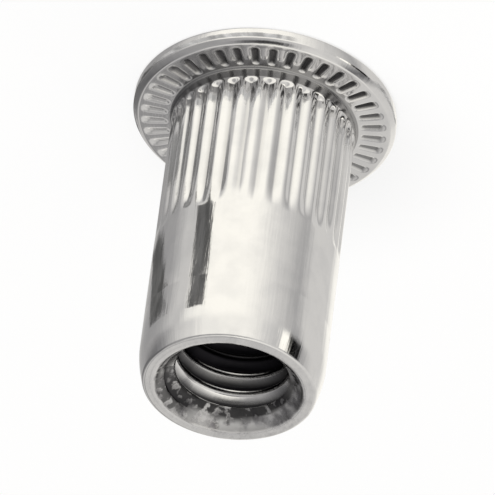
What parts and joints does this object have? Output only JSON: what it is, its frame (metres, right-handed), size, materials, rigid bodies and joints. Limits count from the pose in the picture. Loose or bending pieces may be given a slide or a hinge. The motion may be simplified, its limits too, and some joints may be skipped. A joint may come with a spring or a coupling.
{
  "type": "rivet nut",
  "caption": "Flat-head rivet nut with a splined open-ended barrel and a serrated under-head, internally threaded at the tail.",
  "frame": {"origin": "centre of the flat outer face of the head, which the nut stands on", "axes": "+Z along the axis of the nut, from the head up the barrel to the tail; +X and +Y across the head, which is round"},
  "size_m": [0.01, 0.01, 0.0132],
  "materials": {
    "plated_steel": "bright zinc plating over steel, burnished, with faint drawing and die marks"
  },
  "bodies": {
    "root": {"rivet_nut": "plated_steel"}
  },
  "joints": []
}
